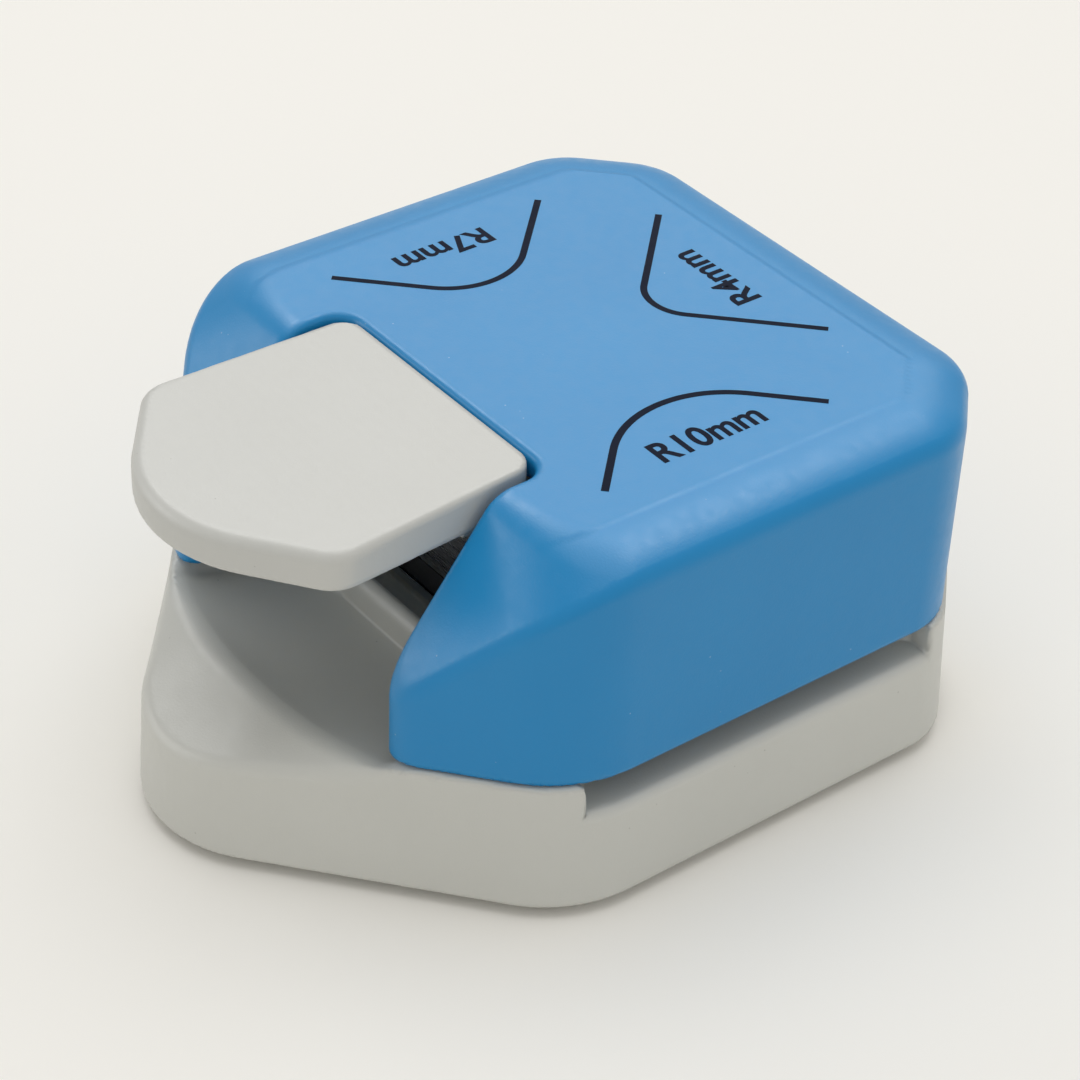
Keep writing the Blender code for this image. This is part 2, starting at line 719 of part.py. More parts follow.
def return_spring():
    """An open coil from the upper plate to the pocket in the carrier."""
    curve = bpy.data.curves.new("return_spring", "CURVE")
    curve.dimensions = "3D"
    curve.bevel_depth = SPRING_WIRE
    curve.bevel_resolution = 2
    curve.use_fill_caps = True
    per_turn = 16
    count = SPRING_TURNS * per_turn + 1
    spline = curve.splines.new("POLY")
    spline.points.add(count - 1)
    low = SPRING_BOTTOM + SPRING_WIRE
    rise = SPRING_TOP - SPRING_BOTTOM - 2 * SPRING_WIRE
    for i, point in enumerate(spline.points):
        angle = 2 * math.pi * i / per_turn
        x, y = SPRING_RADIUS * math.cos(angle), SPRING_RADIUS * math.sin(angle)
        point.co = (x, y, low + rise * i / (count - 1), 1.0)
    spring = from_curve("return_spring", curve, Vector())
    return finish(spring, STEEL, 0.3, 1.0)


def punch_holes(target, clearance, z0, z1):
    for name in PUNCHES:
        cut(target, plate(f"{target.name}_hole_{name}", punch_outline(name, clearance), z0, z1, cutter=True))


def die_plate():
    half, front, back = RECESS
    outline = rectangle(-half + GAP, half - GAP, front + GAP, back - GAP)
    piece = plate("die_plate", outline, SLOT_FLOOR - PLATE, SLOT_FLOOR)
    punch_holes(piece, FIT, 7.0 * MM, 11.0 * MM)
    for name, place in BLOCK_SCREWS.items():
        cut(piece, post(f"die_screw_way_{name}", place, 7.0 * MM, 11.0 * MM, 1.0 * MM, 12, True))
    return finish(piece, STEEL, 0.3, 1.0)


def guide_block():
    """The walls that stop the sheet's corner: what the three wedges leave of a rectangle."""
    half, front, back = RECESS
    half, front, back = half - GAP, front + GAP, back - GAP
    outline = [
        (-half, front), (half, front), (half, APEX - half), (APEX, 0.0), (half, half - APEX), (half, back),
        (back - APEX, back), (0.0, APEX), (APEX - back, back), (-half, back), (-half, half - APEX),
        (-APEX, 0.0), (-half, APEX - half),
    ]
    piece = plate("guide_block", outline, SLOT_FLOOR + GAP, FENCE_TOP)
    punch_holes(piece, FIT, 8.0 * MM, 14.0 * MM)
    for name, place in BLOCK_SCREWS.items():
        cut(piece, post(f"block_screw_way_{name}", place, 8.0 * MM, 14.0 * MM, 1.0 * MM, 12, True))
        cut(piece, post(f"block_screw_seat_{name}", place, 11.0 * MM, 14.0 * MM, 1.9 * MM, 16, True))
    return finish(piece, GREY, 0.5)


def upper_plate():
    """The steel ceiling of the slots, inside the cover and round its two rear bosses."""
    inset = WALL + 0.4 * MM
    edges = rear_edges(0.0)[1:6]
    front = (0.0, -1.0, 11.8 * MM, 0.0, 0.0)
    edges[-1] = (*edges[-1][:4], 0.0)
    outline = from_edges(edges + [front], inset, 4)
    piece = plate("upper_plate", outline, HOUSING_BOTTOM, HOUSING_BOTTOM + PLATE)
    punch_holes(piece, FIT, 10.0 * MM, 16.0 * MM)
    for i, place in enumerate(SCREW_PLACES[:2]):
        cut(piece, post(f"boss_way_{i}", place, 10.0 * MM, 16.0 * MM, 3.5 * MM, 24, True))
    return finish(piece, STEEL, 0.3, 1.0)


# ---------------------------------------------------------------- underside

def foot(number, place):
    """A rubber foot in the base's recess. Its face is the ground, 1 mm under the base."""
    ground = -CENTRE_Z
    profile = [
        (0.0, 1.4 * MM), (3.4 * MM, 1.4 * MM), (3.4 * MM, ground + 0.25 * MM), (3.15 * MM, ground), (0.0, ground),
    ]
    return finish(turned(f"foot_{number}", profile, place, 24), DARK, 0.8)


def chip_cover():
    y, z = COVER_AXIS
    axis_frame("cover_axis", (0.0, y, z))
    side = 0.3 * MM
    half = CHIP_HALF - side
    cover = box("chip_cover", (-half, CHIP_FRONT + side, 0.8 * MM), (half, y + 0.5 * MM, 2.4 * MM))
    pins = cylinder("cover_pins", (-16.5 * MM, y, z), (16.5 * MM, y, z), 0.7 * MM, 16, True)
    join(cover, pins)
    return finish(cover, GREY, 0.5, frame=AXES["cover_axis"])


# ---------------------------------------------------------------- assembly

def build():
    lever_frame()
    axis_frame("punch_axis", (0.0, 0.0, CARRIER_TOP))
    base_shell()
    top_housing()
    lever()
    lever_pin()
    punch_carrier()
    for name in PUNCHES:
        punch(name)
        punch_screw(name)
    for side, place in zip(("right", "left"), mirrored(POST_XY)):
        guide_post(side, place)
    return_spring()
    upper_plate()
    die_plate()
    guide_block()
    for name in BLOCK_SCREWS:
        block_screw(name)
    for i, place in enumerate(SCREW_PLACES):
        housing_screw(i + 1, place)
        foot(i + 1, place)
    chip_cover()


build()
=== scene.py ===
"""Looks of the corner rounder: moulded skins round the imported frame, printed marks, materials and studio.

Shapes are in millimetres from the cutting centre, the point midway between the three slots, with Z up from a
plane CENTRE_Z above the ground. A moulded skin is the zero surface of a signed distance, negative inside, so
every edge has its own radius.
"""
import math

import bmesh
import bpy
import numpy as np
from mathutils import Matrix, Vector


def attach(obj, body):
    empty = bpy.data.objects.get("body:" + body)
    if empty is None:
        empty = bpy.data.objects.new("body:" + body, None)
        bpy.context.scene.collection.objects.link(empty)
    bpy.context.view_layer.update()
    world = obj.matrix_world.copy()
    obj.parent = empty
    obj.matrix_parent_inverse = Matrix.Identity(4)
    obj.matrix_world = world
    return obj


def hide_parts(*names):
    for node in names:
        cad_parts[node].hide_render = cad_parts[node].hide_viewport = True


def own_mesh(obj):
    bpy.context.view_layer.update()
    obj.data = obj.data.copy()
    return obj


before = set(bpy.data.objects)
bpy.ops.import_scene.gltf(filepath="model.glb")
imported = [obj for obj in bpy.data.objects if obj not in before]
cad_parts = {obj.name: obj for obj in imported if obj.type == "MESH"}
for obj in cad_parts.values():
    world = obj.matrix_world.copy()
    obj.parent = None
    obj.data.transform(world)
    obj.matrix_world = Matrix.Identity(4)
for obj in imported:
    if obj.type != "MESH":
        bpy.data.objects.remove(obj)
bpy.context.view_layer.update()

MM = 0.001
CENTRE_Y = 6.63
CENTRE_Z = 0.75

HALF_WIDTH = 28.0
BACK = 27.0
BACK_CHAMFER = 47.6
FRONT_CHAMFER_Y = -19.5
FRONT_CHAMFER_SLOPE = math.radians(40.8)
NOSE_RADIUS = 10.6
SIDE_RADIUS = 12.0
BACK_RADIUS = 7.2
BASE_PROUD = 0.7
BASE_DRAFT = 0.055                              # the base wall leans in by this much per unit of height
DRAFT_HEIGHT = 5.5                              # where the drafted wall stands at its plan

FOOT_PROUD = 0.25
SLOT_FLOOR = 9.6
FENCE_TOP = 12.4
HOUSING_BOTTOM = 12.44
TOP = 33.4
WALL = 2.0
ROOF = 2.2
CAVITY_FRONT = -29.0
SCREW_POST = (3.2, 12.9, 31.7)                  # radius, foot, head
SCREW_PILOT = 1.25
CHEEK_LINING = (15.6, -12.2)                    # outer face and back end of the lever well's side walls
PIN_BLOCK = (11.0, 14.0, 15.7, 22.1, 24.0)      # inner and outer face, front, back, foot
FAR = 60.0                                      # past every face of the object
PANEL_EDGE = 5.0                                # the raised top panel starts this far in from the wall
PANEL_RUN = 0.7
PANEL_RISE = 0.13

APEX = 7.8
SLOT_HALF = 18.3
# each slot: corner radius, the way it faces, how far its cut-out reaches past the corner's lines
SLOTS = {"r10": (10.0, (1.0, 0.0), 0.9), "r7": (7.0, (-1.0, 0.0), 1.1), "r4": (4.0, (0.0, 1.0), 1.6)}
SEAT = (19.3, -12.0, 17.3, 8.3)                 # half width, front, back, floor
TROUGH = (13.0, -16.3, -11.0, 7.0)
DECK_BOTTOM = 5.8
SCREWS = [(20.0, 19.7), (-20.0, 19.7), (-19.5, -18.5), (19.5, -18.5)]
SPRING = (3.4, 0.4, 5, 13.9, 24.2)              # radius, wire, turns, foot, head
BLOCK_SCREWS = [(-14.5, 14.2), (14.5, 14.2), (0.0, -8.0)]
CHIP = (15.4, -13.5, 18.2)                      # half width, front, back
COVER_AXIS = (16.7, 1.9)                        # y, z
COVER_PIN = (0.7, 16.5)                         # radius, half length
COVER_BORE = (0.9, 17.6)
COVER_RIB_PITCH = 2.2
NAIL_NOTCH = (0.7, 4.0, 2.0)                    # ahead of the chip space, radius, height
INK_HEIGHT = 0.012

BASE_WALL = 2.2
BASE_POST = 4.4
SCREW_HOLE = 1.45
HEAD_RECESS = (2.6, 4.0)                        # radius, height
FOOT_RECESS = (3.65, 1.7)
CHIP_WALL = 1.4
BOSS = (2.2, 2.8, 7.9)                          # radius, foot, head
BOSS_PILOT = 0.95
CHUTE_GAP = 0.8                                 # the chutes are wider than the slots' cut-outs by this
CHUTE = (4.0, 9.0)                              # foot, head

BOWL_CENTRE = (0.0, -19.0, 14.9)
BOWL_RADII = (30.1, 15.3, 5.8)
BOWL_HALF = 15.5
CROSS_WALL_Y = -17.8
RIM_HALF = 18.3                                 # half width of the bowl's rim at the cheeks

PIVOT = (18.9, 27.4)                            # y, z
LEVER_BACK = -13.2
LEVER_UNDER = 29.35
LEVER_DROOP = 0.45                              # the thumb plate falls this much in each run
LEVER_DROOP_RUN = 20.0
PIN_BORE = 1.6
WELL_HALF = 14.1
WELL_BACK = -13.0
CHEEK_SLOPE = math.radians(52.6)
CHEEK_TOP_Y = -18.3
BAND_FOOT = 31.5                                # the rim's sloping band, where it meets the wall
BAND_RISE = 0.667

STEP = 0.45         # spacing of the skins' points


# ---------------------------------------------------------------- distances

def meet(a, b, radius):
    """Both solids, their shared edge rounded."""
    u, v = np.maximum(a + radius, 0.0), np.maximum(b + radius, 0.0)
    return np.minimum(np.maximum(a, b), -radius) + np.hypot(u, v)


def without(a, b, radius):
    return meet(a, -b, radius)


def join(a, b, radius):
    """Either solid, the corner between them filleted."""
    u, v = np.maximum(radius - a, 0.0), np.maximum(radius - b, 0.0)
    return np.maximum(np.minimum(a, b), radius) - np.hypot(u, v)


def ease(value):
    value = np.clip(value, 0.0, 1.0)
    return value * value * (3.0 - 2.0 * value)


def block(x, y, z, x0, x1, y0, y1, z0, z1):
    across = np.maximum(np.maximum(x0 - x, x - x1), np.maximum(y0 - y, y - y1))
    return np.maximum(across, np.maximum(z0 - z, z - z1))


def post(x, y, z, place, radius, z0, z1):
    return np.maximum(np.hypot(x - place[0], y - place[1]) - radius, np.maximum(z0 - z, z - z1))


def bar(x, y, z, place, radius, half):
    """A round bar along X at (y, z)."""
    return np.maximum(np.hypot(y - place[0], z - place[1]) - radius, np.abs(x) - half)


# ---------------------------------------------------------------- plans

def arc(corner, before, after, radius, steps):
    corner = Vector(corner)
    a = (Vector(before) - corner).normalized()
    b = (Vector(after) - corner).normalized()
    half = a.angle(b) / 2
    centre = corner + (a + b).normalized() * (radius / math.sin(half))
    start = corner + a * (radius / math.tan(half)) - centre
    end = corner + b * (radius / math.tan(half)) - centre
    sweep = start.angle_signed(end)
    points = []
    for i in range(steps + 1):
        cosine, sine = math.cos(sweep * i / steps), math.sin(sweep * i / steps)
        points.append(centre + Vector((cosine * start.x + sine * start.y, cosine * start.y - sine * start.x)))
    return points


def rounded(corners, steps=20):
    outline = []
    for i, (x, y, radius) in enumerate(corners):
        outline += arc((x, y), corners[i - 1][:2], corners[(i + 1) % len(corners)][:2], radius, steps)
    return outline


def from_edges(edges):
    corners = []
    for i, (ax, ay, ad, radius) in enumerate(edges):
        bx, by, bd, _ = edges[(i + 1) % len(edges)]
        det = ax * by - ay * bx
        corners.append(((ad * by - bd * ay) / det, (ax * bd - bx * ad) / det, radius))
    return rounded(corners)


def half_planes(outline):
    """The outward normals and distances of a convex outline's sides."""
    sides = []
    for a, b in zip(outline, outline[1:] + outline[:1]):
        run = b - a
        if run.length > 1e-6:
            normal = Vector((run.y, -run.x)).normalized()
            sides.append((normal.x, normal.y, normal.dot(a)))
    return sides


def plan(sides, x, y):
    nx, ny, reach = sides[0]
    far = nx * x + ny * y - reach
    for nx, ny, reach in sides[1:]:
        far = np.maximum(far, nx * x + ny * y - reach)
    return far


SLANT = (math.sin(FRONT_CHAMFER_SLOPE), math.cos(FRONT_CHAMFER_SLOPE))
SLANT_DISTANCE = HALF_WIDTH * SLANT[0] - FRONT_CHAMFER_Y * SLANT[1]
ROOT = math.sqrt(0.5)


def body_plan(proud, tip):
    chamfer = BACK_CHAMFER * ROOT + proud
    return half_planes(from_edges([
        (SLANT[0], -SLANT[1], SLANT_DISTANCE + proud, SIDE_RADIUS),
        (1.0, 0.0, HALF_WIDTH + proud, BACK_RADIUS),
        (ROOT, ROOT, chamfer, BACK_RADIUS),
        (0.0, 1.0, BACK + proud, BACK_RADIUS),
        (-ROOT, ROOT, chamfer, BACK_RADIUS),
        (-1.0, 0.0, HALF_WIDTH + proud, SIDE_RADIUS),
        (-SLANT[0], -SLANT[1], SLANT_DISTANCE + proud, tip),
    ]))


HOUSING_PLAN = body_plan(0.0, 4.0)
BASE_PLAN = body_plan(BASE_PROUD, NOSE_RADIUS + BASE_PROUD)
LEVER_PLAN = half_planes(rounded([
    (-13.0, LEVER_BACK, 2.0),
    (-14.3, -32.7, 3.4),
    (0.0, -43.5, 13.0),
    (14.3, -32.7, 3.4),
    (13.0, LEVER_BACK, 2.0),
]))


# ---------------------------------------------------------------- skins

def housing_field(x, y, z):
    wall = plan(HOUSING_PLAN, x, y)
    slope = (z - TOP) * math.cos(CHEEK_SLOPE) - (y - CHEEK_TOP_Y) * math.sin(CHEEK_SLOPE)
    lean = math.atan(BAND_RISE)
    band = (z - BAND_FOOT + BAND_RISE * wall) * math.cos(lean)
    rim_drop = PANEL_RISE * (1.0 - ease((-wall - PANEL_EDGE) / PANEL_RUN))
    crown = meet(z - TOP + rim_drop, meet(band, slope, 4.2), 1.5)
    well = meet(np.abs(x) - WELL_HALF, y - WELL_BACK, 2.2)
    body = meet(crown, meet(wall, -well, 4.2), 0.8)
    body = meet(body, HOUSING_BOTTOM - z, 0.45)
    cheek = block(np.abs(x), y, z, WELL_HALF - 0.1, CHEEK_LINING[0], -FAR, CHEEK_LINING[1], 0.0, FAR)
    cavity = np.maximum(np.maximum(wall + WALL, crown + ROOF), CAVITY_FRONT - y)
    body = np.maximum(body, -np.maximum(cavity, -cheek))
    for place in SCREWS:
        body = np.minimum(body, np.maximum(post(x, y, z, place, *SCREW_POST), crown + 1.0))
    body = np.minimum(body, block(np.abs(x), y, z, *PIN_BLOCK, SCREW_POST[2]))
    for place in SCREWS:
        body = np.maximum(body, -post(x, y, z, place, SCREW_PILOT, 10.0, 25.0))
    return np.maximum(body, -bar(x, y, z, PIVOT, PIN_BORE, 20.0))


def nose_front(x):
    radius = NOSE_RADIUS + BASE_PROUD
    apex = -(SLANT_DISTANCE + BASE_PROUD) / SLANT[1]
    arc_y = apex + radius / SLANT[1] - np.sqrt(np.maximum(radius ** 2 - x * x, 0.0))
    return np.where(np.abs(x) > radius * SLANT[0], apex + np.abs(x) * SLANT[0] / SLANT[1], arc_y)


def band_height(x, y):
    """The nose's band, which falls from the bowl's rim to the crease on the wall."""
    side = np.abs(x)
    share = side / RIM_HALF
    rim_y = -32.4 + 3.0 * np.minimum(share, 1.2) ** 2
    rim_z = 12.1 + 0.6 * ease((share - 0.85) / 0.15)
    crease_z = 9.2 + 0.75 * ease(side / 8.0) + 2.6 * np.clip((side - 6.0) / 14.0, 0.0, 1.0) ** 2
    run = np.minimum(nose_front(x) - rim_y, -0.5)
    fall = (crease_z - rim_z) / run
    return rim_z + (y - rim_y) * np.where(y > rim_y, 0.4, fall), np.abs(fall)


def base_outside(x, y, z, wall):
    """The base with its slots, seat, nose band and bowl, still solid underneath."""
    body = meet(wall, z - FENCE_TOP, 0.3)
    deck = meet(wall, z - SLOT_FLOOR, 0.9)
    for _, (dx, dy), _ in SLOTS.values():
        out, side = x * dx + y * dy - APEX, np.abs(y * dx - x * dy)
        body = without(body, np.maximum((side - out) * ROOT, side - SLOT_HALF), 0.25)
    body = np.minimum(body, deck)
    half, front, back, floor = SEAT
    body = np.maximum(body, -block(x, y, z, -half, half, front, back, floor, FAR))
    half, front, back, floor = TROUGH
    body = without(body, block(x, y, z, -half, half, front, back, floor, FAR), 0.4)
    height, rise = band_height(x, y)
    body = meet(body, (z - height) / np.sqrt(1.0 + rise ** 2), 0.8)
    # distance to an ellipsoid, from its level and its slope
    p = [(v - c) / r for v, c, r in zip((x, y, z), BOWL_CENTRE, BOWL_RADII)]
    k0 = np.sqrt(p[0] ** 2 + p[1] ** 2 + p[2] ** 2)
    k1 = np.sqrt(sum((v / r) ** 2 for v, r in zip(p, BOWL_RADII))) + 1e-9
    bowl = meet(meet(k0 * (k0 - 1.0) / k1, y - CROSS_WALL_Y, 0.25), np.abs(x) - BOWL_HALF, 0.6)
    body = without(body, bowl, 1.2)
    return meet(body, FOOT_PROUD - z, 0.6)


def base_hollowed(body, x, y, z, wall):
    """The base with its underside hollowed round the chip space, and the bosses of the block screws."""
    half = CHIP[0] + CHIP_WALL
    ring = block(x, y, z, -half, half, CHIP[1] - CHIP_WALL, CHIP[2] + CHIP_WALL, -FAR, FAR)
    hollow = np.maximum(np.maximum(wall + BASE_WALL + BASE_PROUD, z - DECK_BOTTOM), -ring)
    for place in SCREWS:
        hollow = np.maximum(hollow, -post(x, y, z, place, BASE_POST, -FAR, FAR))
    body = without(body, hollow, 0.3)
    body = without(body, block(x, y, z, -CHIP[0], CHIP[0], CHIP[1], CHIP[2], -FAR, DECK_BOTTOM), 0.3)
    for place in BLOCK_SCREWS:
        body = join(body, post(x, y, z, place, *BOSS), 0.3)
        body = np.maximum(body, -post(x, y, z, place, BOSS_PILOT, 0.0, 9.0))
    return body


def base_field(x, y, z):
    wall = plan(BASE_PLAN, x, y) + BASE_DRAFT * (z - DRAFT_HEIGHT)
    body = base_hollowed(base_outside(x, y, z, wall), x, y, z, wall)
    for radius, (dx, dy), overlap in SLOTS.values():
        out, side = x * dx + y * dy - APEX, np.abs(y * dx - x * dy)
        chute = (side - out) * ROOT - overlap - CHUTE_GAP
        chute = np.maximum(chute, (out + side) * ROOT - radius - CHUTE_GAP)
        chute = np.maximum(chute, radius - CHUTE_GAP - np.hypot(out - radius / ROOT, side))
        body = np.maximum(body, -np.maximum(chute, np.maximum(CHUTE[0] - z, z - CHUTE[1])))
    for place in SCREWS:
        body = without(body, post(x, y, z, place, FOOT_RECESS[0], -FAR, FOOT_RECESS[1]), 0.2)
        body = np.maximum(body, -post(x, y, z, place, HEAD_RECESS[0], -FAR, HEAD_RECESS[1]))
        body = np.maximum(body, -post(x, y, z, place, SCREW_HOLE, 0.0, 14.0))
    body = np.maximum(body, -bar(x, y, z, COVER_AXIS, *COVER_BORE))
    ahead, radius, height = NAIL_NOTCH
    return without(body, post(x, y, z, (0.0, CHIP[1] - ahead), radius, -FAR, height), 0.3)


def lever_field(x, y, z):
    wall = plan(LEVER_PLAN, x, y)
    ahead = np.clip((LEVER_BACK - y) / LEVER_DROOP_RUN, 0.0, 1.4)
    crown = meet(wall, z - TOP + LEVER_DROOP * ahead, 0.35 + 0.6 * ahead)
    thumb = meet(crown, LEVER_UNDER - z, 0.6)
    inner = np.minimum(block(x, y, z, -8.5, 8.5, -19.0, PIVOT[0], 28.2, 30.7),
                       block(x, y, z, -11.5, 11.5, -19.2, -12.6, 27.3, 30.5))
    inner = np.minimum(inner, bar(x, y, z, PIVOT, 3.0, 10.6))
    inner = np.minimum(inner, bar(x, y, z, (0.0, 28.7), 2.2, 6.0))
    return np.maximum(join(thumb, inner, 0.4), -bar(x, y, z, PIVOT, PIN_BORE, 15.0))


def cover_field(x, y, z):
    """The chip cover: a thin plate with finger ribs under its free end and two snap-in pins."""
    edge = meet(np.abs(x) - CHIP[0] + 0.3, np.maximum(CHIP[1] + 0.3 - y, y - COVER_AXIS[0] - 0.5), 0.6)
    plate = meet(edge, np.maximum(0.8 - z, z - 2.4), 0.25)
    furrow = np.abs((y - CHIP[1] - 4.0) % COVER_RIB_PITCH - COVER_RIB_PITCH / 2) - COVER_RIB_PITCH / 4
    grip = np.maximum(np.maximum(np.abs(x) - 7.0, np.abs(y - CHIP[1] - 8.4) - 4.4), z - 1.25)
    plate = without(plate, np.maximum(furrow, grip), 0.2)
    return np.minimum(plate, bar(x, y, z, COVER_AXIS, *COVER_PIN))


def linked(name, mesh):
    piece = bpy.data.objects.new(name, mesh)
    bpy.context.scene.collection.objects.link(piece)
    return piece


def turn_outward(mesh):
    build = bmesh.new()
    build.from_mesh(mesh)
    bmesh.ops.recalc_face_normals(build, faces=build.faces)
    build.to_mesh(mesh)
    build.free()


def crossings(value, axes, axis, step):
    """Where the field changes sign along one axis: the points, and each one's ring of four grid cells."""
    cells = [len(a) - 1 for a in axes]
    order = (axis, (axis + 1) % 3, (axis + 2) % 3)
    turned = np.transpose(value, order)
    first, second = turned[:-1], turned[1:]
    inside = first < 0.0
    hits = np.argwhere(inside != (second < 0.0))
    hits = hits[(hits[:, 1] > 0) & (hits[:, 2] > 0)]
    hits = hits[(hits[:, 1] < turned.shape[1] - 1) & (hits[:, 2] < turned.shape[2] - 1)]
    key = tuple(hits.T)
    a, b = first[key], second[key]
    place = np.empty((len(hits), 3))
    for column, name in enumerate(order):
        place[:, name] = axes[name][hits[:, column]]
    place[:, axis] += step * a / (a - b)
    ring = []
    for p, q in ((-1, -1), (0, -1), (0, 0), (-1, 0)):
        cell = np.empty((len(hits), 3), np.int64)
        cell[:, order[0]] = hits[:, 0]
        cell[:, order[1]] = hits[:, 1] + p
        cell[:, order[2]] = hits[:, 2] + q
        ring.append((cell[:, 0] * cells[1] + cell[:, 1]) * cells[2] + cell[:, 2])
    ring = np.stack(ring, 1)
    inward = ~inside[key]
    ring[inward] = ring[inward][:, ::-1]
    return place, ring


def surface_net(field, low, high, step):
    """Points and quads of the field's zero surface on a regular grid."""
    axes = [np.arange(a, b + step, step) for a, b in zip(low, high)]
    x, y, z = np.meshgrid(*axes, indexing="ij", sparse=True)
    value = np.broadcast_to(field(x, y, z), [len(a) for a in axes])
    found = [crossings(value, axes, axis, step) for axis in range(3)]
    places = np.concatenate([np.repeat(place, 4, 0) for place, _ in found])
    owners = np.concatenate([ring.ravel() for _, ring in found])
    _, index = np.unique(owners, return_inverse=True)
    index = index.ravel()
    count = np.bincount(index)
    points = np.stack([np.bincount(index, places[:, k]) / count for k in range(3)], 1)
    return points, index.reshape(-1, 4)


def slope_of(field, points, reach):
    columns = []
    for axis in range(3):
        shift = np.zeros(3)
        shift[axis] = reach
        columns.append((field(*(points + shift).T) - field(*(points - shift).T)) / (2 * reach))
    return np.stack(columns, 1)


def moulded(name, field, low, high, body, node, step=STEP):
    """A skin that stands for one CAD node."""
    points, quads = surface_net(field, low, high, step)
    for _ in range(3):
        slope = slope_of(field, points, 0.02)
        length = np.maximum((slope ** 2).sum(1), 0.2)
        move = -field(*points.T)[:, None] * slope / length[:, None]
        points += np.clip(move, -0.5 * step, 0.5 * step)
    mesh = bpy.data.meshes.new(name)
    world = (points + (0.0, CENTRE_Y, CENTRE_Z)) * MM
    mesh.from_pydata(world.tolist(), [], quads.tolist())
    mesh.polygons.foreach_set("use_smooth", [True] * len(mesh.polygons))
    normals = slope_of(field, points, 0.12)
    normals /= np.maximum(np.linalg.norm(normals, axis=1), 1e-9)[:, None]
    mesh.normals_split_custom_set_from_vertices(normals.tolist())
    mesh.update()
    piece = linked(name, mesh)
    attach(piece, body)
    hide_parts(node)
    return piece


def spring():
    """The return spring's round wire."""
    radius, wire, turns, foot, head = SPRING
    steps, sides = turns * 72, 14
    pitch = (head - foot - 2 * wire) / turns
    lean = math.atan2(pitch, math.tau * radius)
    verts = []
    for i in range(steps + 1):
        turn = math.tau * turns * i / steps
        out = Vector((math.cos(turn), math.sin(turn), 0.0))
        along = Vector((-math.sin(turn), math.cos(turn), 0.0))
        rise = Vector((0.0, 0.0, math.cos(lean))) - along * math.sin(lean)
        centre = out * radius + Vector((0.0, CENTRE_Y, CENTRE_Z + foot + wire + pitch * turns * i / steps))
        for k in range(sides):
            angle = math.tau * k / sides
            verts.append((centre + (out * math.cos(angle) + rise * math.sin(angle)) * wire) * MM)
    faces = [list(range(sides)), [steps * sides + k for k in reversed(range(sides))]]
    for i in range(steps):
        for k in range(sides):
            a, b = i * sides + k, i * sides + (k + 1) % sides
            faces.append([a, a + sides, b + sides, b])
    mesh = bpy.data.meshes.new("spring_wire")
    mesh.from_pydata(verts, [], faces)
    mesh.polygons.foreach_set("use_smooth", [len(face) == 4 for face in faces])
    turn_outward(mesh)
    piece = linked("spring_wire", mesh)
    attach(piece, "base")
    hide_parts("return_spring")
    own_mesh(piece)
    return piece


# ---------------------------------------------------------------- studio

def look(location, target):
    back = (Vector(location) - Vector(target)).normalized()
    return back.to_track_quat("Z", "Y")


def make_camera():
    azimuth, elevation, roll = math.radians(51.36), math.radians(36.49), math.radians(2.38)
    back = Vector((math.sin(azimuth) * math.cos(elevation), -math.cos(azimuth) * math.cos(elevation),
                   math.sin(elevation)))
    right = Vector((math.cos(azimuth), math.sin(azimuth), 0.0))
    up = back.cross(right)
    side = right * math.cos(roll) + up * math.sin(roll)
    rise = up * math.cos(roll) - right * math.sin(roll)
    camera = bpy.data.objects.new("camera", bpy.data.cameras.new("camera"))
    camera.data.lens = 100.0
    camera.data.sensor_width = 36.0
    camera.data.clip_start = 0.01
    camera.data.clip_end = 10.0
    place = Vector((21.36, CENTRE_Y - 19.17, CENTRE_Z + TOP)) * MM + back * 0.2277
    camera.matrix_world = Matrix((
        (side.x, rise.x, back.x, place.x), (side.y, rise.y, back.y, place.y),
        (side.z, rise.z, back.z, place.z), (0.0, 0.0, 0.0, 1.0)))
    bpy.context.scene.collection.objects.link(camera)
    bpy.context.scene.camera = camera


def softbox(name, location, size, power, sheen_only=False):
    data = bpy.data.lights.new(name, "AREA")
    data.shape = "RECTANGLE"
    data.size, data.size_y = size
    data.energy = power
    lamp = bpy.data.objects.new(name, data)
    lamp.location = location
    lamp.rotation_mode = "QUATERNION"
    lamp.rotation_quaternion = look(location, (0.0, 0.0, 0.02))
    lamp.visible_diffuse = not sheen_only
    bpy.context.scene.collection.objects.link(lamp)


def make_studio():
    scene = bpy.context.scene
    scene.view_settings.view_transform = "Standard"
    world = bpy.data.worlds.new("studio")
    scene.world = world
    world.use_nodes = True
    world.node_tree.nodes["Background"].inputs["Color"].default_value = (1.0, 0.99, 0.97, 1.0)
    world.node_tree.nodes["Background"].inputs["Strength"].default_value = 0.64
    softbox("overhead", (-0.10, 0.06, 0.74), (0.7, 0.7), 2.0)
    softbox("back_sheen", (-0.28, 0.25, 0.46), (0.60, 0.55), 2.0, sheen_only=True)
    softbox("front_sheen", (-0.40, -0.45, 0.21), (0.40, 0.30), 0.9, sheen_only=True)
    softbox("front_rim_sheen", (-0.38, 0.0, 0.47), (0.16, 0.16), 0.5, sheen_only=True)
    softbox("right_rim_sheen", (-0.06, 0.30, 0.52), (0.16, 0.16), 0.35, sheen_only=True)
    mesh = bpy.data.meshes.new("floor")
    half = 2.0
    mesh.from_pydata([(-half, -half, 0.0), (half, -half, 0.0), (half, half, 0.0), (-half, half, 0.0)], [],
                     [(0, 1, 2, 3)])
    floor = bpy.data.objects.new("floor", mesh)
    scene.collection.objects.link(floor)
    made = bpy.data.materials.new("floor")
    made.use_nodes = True
    shader = made.node_tree.nodes["Principled BSDF"]
    shader.inputs["Base Color"].default_value = (0.97, 0.952, 0.905, 1.0)
    shader.inputs["Roughness"].default_value = 0.9
    shader.inputs["Specular IOR Level"].default_value = 0.1
    mesh.materials.append(made)


